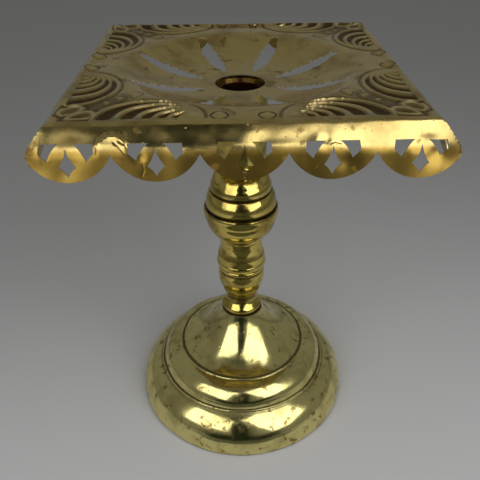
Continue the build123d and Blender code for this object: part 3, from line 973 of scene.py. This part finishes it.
def bend(points, chart):
    # corners bent by long use, creased beside the mitres
    x, y, _ = points.T.copy()
    side = smooth(np.abs(chart).max(1), *knocks["bendFrom"])
    front = (np.abs(chart[:, 1]) >= np.abs(chart[:, 0])) & (chart[:, 1] < 0)
    frontAt, frontWide = knocks["frontCrease"]
    sideAt, sideWide = knocks["sideCrease"]
    away = np.where(front, np.abs(x) - frontAt, np.abs(y) - sideAt) / np.where(front, frontWide, sideWide)
    lift = np.clip(away, 0, knocks["mostBend"]) * side * (y < 0)
    for way, name in ((-1, "leftCorner"), (1, "rightCorner")):
        back, up = knocks[name]
        here = lift * (x * way > 0)
        points[:, 0] -= way * knocks["cornerIn"] * here
        points[:, 1] += back * here
        points[:, 2] += up * here
    return points


def foldTray():
    t = tray
    slots = [slotOutline(2 * math.pi * (k + 0.5) / t["slots"]) for k in range(t["slots"])]
    pitch = 2 * t["cusp"] / t["scallops"]
    holes = []
    for side in range(4):
        for k in range(t["scallops"]):
            holes += sideHoles((k - (t["scallops"] - 1) / 2) * pitch, side)
    edge = []
    for side in range(4):
        edge += scallopEdge(side)
    hubSteps = 120
    around = np.arange(hubSteps) * 2 * math.pi / hubSteps
    hub = [(t["hubHole"] * math.cos(a), t["hubHole"] * math.sin(a)) for a in around]
    lines = [(line, True) for line in slots + holes + [edge, hub]]
    start = pattern["fanBase"]
    corner = chartOf(cuspZ)
    steps = 30
    along = [start + (corner - start) * i / steps for i in range(steps)]
    for sx, sy in ((1, 1), (-1, 1), (-1, -1), (1, -1)):
        lines.append(([(sx * d, sy * d) for d in along], False))
    lines += crackLines()
    points = chartPoints(lines)
    coords = [Vector(p) for p in points]
    edges = []
    for line, closed in lines:
        first = len(coords)
        coords += [Vector(p) for p in line]
        last = len(coords) - 1
        edges += [(i, i + 1) for i in range(first, last)]
        if closed:
            edges.append((last, first))

    # flat triangles, without those in the holes and past the edge
    made = delaunay_2d_cdt(coords, edges, [], 0, 1e-5, False)
    chart = np.array([tuple(v) for v in made[0]])
    tris = np.array([f for f in made[2] if len(f) == 3])
    middle = chart[tris].mean(1)
    keep = insideLine(middle, edge)
    for line in slots + holes + [hub]:
        keep &= ~insideLine(middle, line)
    tris = tris[keep]
    area = np.cross(chart[tris[:, 1]] - chart[tris[:, 0]], chart[tris[:, 2]] - chart[tris[:, 0]])
    tris = np.where((area < 0)[:, None], tris[:, ::-1], tris)
    used = np.unique(tris)
    renumber = np.full(len(chart), -1)
    renumber[used] = np.arange(len(used))
    chart = chart[used]
    tris = renumber[tris]
    print("tray chart has", len(chart), "points")

    # the folded sheet, and its normals
    reach = np.abs(chart).max(1)
    out, z = reachOf(reach)
    r = np.hypot(chart[:, 0], chart[:, 1])
    z = np.where(r < t["rim"], dishZ(r), z)
    base = np.stack([chart[:, 0] * out / reach, chart[:, 1] * out / reach, z], 1)
    normal = np.zeros_like(base)
    cross = np.cross(base[tris[:, 1]] - base[tris[:, 0]], base[tris[:, 2]] - base[tris[:, 0]])
    for k in range(3):
        np.add.at(normal, tris[:, k], cross)
    normal /= np.linalg.norm(normal, axis=1)[:, None]

    # relief, unevenness and wear press it up and down
    height, shadeAndStain, crest, green = relief(chart[:, 0], chart[:, 1])
    height *= smooth(-reach, -t["reliefEnd"], -t["reliefEnd"] + t["reliefFade"])
    (wave, most), (fineWave, fineMost) = t["dishWave"], t["dishFine"]
    uneven = ripple(base, wave, 21) * most + ripple(base, fineWave, 22) * fineMost
    height = height + (uneven - t["dishInset"]) * smooth(r, 22.0, 40.0)
    wave, most = t["sideWave"]
    sideWave = ripple(base, wave, 23) * most * smooth(reach, t["fold"] + 2.0, t["cusp"])
    onSide = smooth(reach, t["fold"] + 1.0, t["cusp"])
    height = height + np.minimum(sideWave, t["sideInset"]) - t["sideInset"] * onSide
    wearAndShade, dark = wearAndLobeShade(chart)
    height = height + wearAndShade
    shadeAndStain = np.maximum(shadeAndStain, dark)
    top = base + normal * height[:, None]
    under = base + normal * (height * 0.75 - t["sheet"])[:, None]
    top = bend(top, chart)
    under = bend(under, chart)

    # upper and lower faces, joined by walls along every free edge
    count = len(top)
    ways = np.concatenate([tris[:, [0, 1]], tris[:, [1, 2]], tris[:, [2, 0]]])
    _, where, times = np.unique(np.sort(ways, 1), axis=0, return_index=True, return_counts=True)
    rimEdges = ways[where[times == 1]]
    walls = [(b, a, a + count, b + count) for a, b in rimEdges.tolist()]
    faces = tris.tolist() + (tris[:, ::-1] + count).tolist() + walls
    kinds = [0] * (2 * len(tris)) + [1] * len(walls)
    allPoints = np.concatenate([top, under])
    allPoints = np.clip(allPoints, [-trayReach, -trayReach, trayLow], [trayReach, trayReach, trayHigh])
    piece = makeObject("traySheet", allPoints, faces, [trayBrass, edgeBrass], t["sharpAngle"],
                       ["tray_sheet"], kinds)
    # painted shade on the apron below the cusps
    apron = smooth(reach, chartOf(cuspZ) - 4.5, chartOf(cuspZ) - 0.5)
    for name, mask in (("shadeAndStain", shadeAndStain), ("crest", crest), ("verdigris", green), ("apron", apron)):
        layer = piece.data.attributes.new(name, "FLOAT", "POINT")
        layer.data.foreach_set("value", np.concatenate([mask, mask * 0.3]).astype(np.float32))


foldTray()
print("tray made")


# CAD nodes that keep their own shape

def carried(node, material):
    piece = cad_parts[node]
    piece.data.materials.clear()
    piece.data.materials.append(material)


solder = {"setIn": 1.5, "runs": 0.25, "inset": 1.5, "size": 6.0, "sharpAngle": 40}


def cornerSolder():
    # runs of solder inside the four mitres, set in behind the rounded fold
    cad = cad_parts["corner_solder"].data
    points = np.array([tuple(v.co) for v in cad.vertices]) / mm
    points[:, :2] -= np.sign(points[:, :2]) * solder["setIn"]
    uneven = ripple(points, solder["size"], 31)[:, None] + solder["inset"]
    points[:, :2] -= np.sign(points[:, :2]) * uneven * solder["runs"]
    faces = [tuple(face.vertices) for face in cad.polygons]
    makeObject("cornerSolder", points, faces, [solderGrey], solder["sharpAngle"],
               ["corner_solder"])


cornerSolder()
carried("neck_solder", solderGrey)
for node in ("rim_wire", "base_washer", "base_nut", "cup_washer", "cup_nut", "tie_rod"):
    carried(node, rodIron)


# camera, floor and light

# in mm and degrees
view = {
    "place": (-6.44, -356.74, 395.5), "lens": 41.40, "sensor": 36.0,
    "down": 34.59, "roll": -0.478, "turn": 0.885,
}


def addCamera():
    down, roll, turn = (math.radians(view[k]) for k in ("down", "roll", "turn"))
    ahead = Vector((math.sin(turn) * math.cos(down), math.cos(turn) * math.cos(down), -math.sin(down)))
    right = Vector((math.cos(turn), -math.sin(turn), 0))
    up = right.cross(ahead)
    across = right * math.cos(roll) + up * math.sin(roll)
    above = up * math.cos(roll) - right * math.sin(roll)
    data = bpy.data.cameras.new("camera")
    data.lens = view["lens"]
    data.sensor_width = view["sensor"]
    data.clip_start = 0.01
    camera = bpy.data.objects.new("camera", data)
    bpy.context.scene.collection.objects.link(camera)
    turned = Matrix((across, above, -ahead)).transposed().to_4x4()
    turned.translation = Vector(view["place"]) * mm
    camera.matrix_world = turned
    bpy.context.scene.camera = camera


studio = {
    "floor": (0.62, 0.62, 0.63), "floorHalf": 6.0, "world": (0.185, 0.187, 0.178),
    # the dark parts of the room, as shares of its directions
    "shade": (0.010, 0.014, 0.010), "stripMiddle": -0.03, "stripHalf": (0.10, 0.25), "front": (0.20, 0.50),
    "low": (0.14, 0.26), "lowHalf": (0.45, 0.70), "high": (0.62, 0.78), "highDark": 0.85,
    # the card in front: left, right, near, far and height, and how much it narrows toward the stand
    "card": (-0.26, 0.30, -0.15, -0.85, 0.001), "cardNarrow": 0.7, "felt": (0.10, 0.11, 0.09),
    "aim": (0, 0, 0.15),
    "lights": [
        # name, azimuth from the camera's side, distance and height of its middle, width, height, roll, power
        ("leftPanel", -38.0, 0.50, 0.40, 0.430, 0.42, 0.0, 1.8),
        ("rightPanel", 40.0, 0.50, 0.48, 0.470, 0.62, 12.0, 2.0),
    ],
}


def staged(name, corners, finish, colour, roughness):
    # a flat sheet of the room
    sheet = bpy.data.meshes.new(name)
    sheet.from_pydata(corners, [], [(0, 1, 2, 3)])
    thing = bpy.data.objects.new(name, sheet)
    bpy.context.scene.collection.objects.link(thing)
    paint = Finish(finish)
    paint.set(Base_Color=colour, Roughness=roughness)
    sheet.materials.append(paint.material)
    return thing


def addStudio():
    half = studio["floorHalf"]
    corners = [(-half, -half, 0), (half, -half, 0), (half, half, 0), (-half, half, 0)]
    staged("floor", corners, "floorPaint", studio["floor"], 0.9)
    left, right, near, far, rise = studio["card"]
    nearLeft, nearRight = left * studio["cardNarrow"], right * studio["cardNarrow"]
    corners = [(nearLeft, near, rise), (left, far, rise), (right, far, rise), (nearRight, near, rise)]
    card = staged("darkCard", corners, "darkFelt", studio["felt"], 0.95)
    # it shows only as a reflection
    for kind in ("visible_camera", "visible_shadow", "visible_diffuse"):
        setattr(card, kind, False)
    aim = Vector(studio["aim"])
    for name, azimuth, distance, middle, width, height, roll, brightness in studio["lights"]:
        a = math.radians(azimuth)
        place = Vector((distance * math.sin(a), -distance * math.cos(a), middle))
        data = bpy.data.lights.new(name, "AREA")
        data.shape = "RECTANGLE"
        data.size = width
        data.size_y = height
        data.energy = brightness * math.pi * width * height
        light = bpy.data.objects.new(name, data)
        light.location = place
        light.rotation_mode = "QUATERNION"
        facing = (aim - place).to_track_quat("-Z", "Y")
        light.rotation_quaternion = facing @ Quaternion((0, 0, 1), math.radians(roll))
        light.visible_camera = False
        bpy.context.scene.collection.objects.link(light)
    world = bpy.data.worlds.new("studioWorld")
    bpy.context.scene.world = world
    # an even grey room with a dark strip behind the camera, between the panels
    room = Finish(world)
    way = room.add("ShaderNodeTexCoord", {}, {}, "Generated")
    across, ahead, above = (room.add("ShaderNodeSeparateXYZ", {}, {0: way}, axis) for axis in range(3))
    aside = (across - studio["stripMiddle"]).maths("ABSOLUTE", 0)
    strip = 1.0 - room.span(aside, *studio["stripHalf"])
    over = room.span(above, *studio["high"]) * studio["highDark"]
    near = (1.0 - room.span(above, *studio["low"])) * (1.0 - room.span(aside, *studio["lowHalf"]))
    dark = strip.maths("MAXIMUM", over).maths("MAXIMUM", near) * room.span(0.0 - ahead, *studio["front"])
    room.put(room.nodes["Background"].inputs["Color"], room.blend(dark, studio["world"], studio["shade"]))
    bpy.context.scene.view_settings.view_transform = "Standard"


addCamera()
addStudio()
print("studio made")
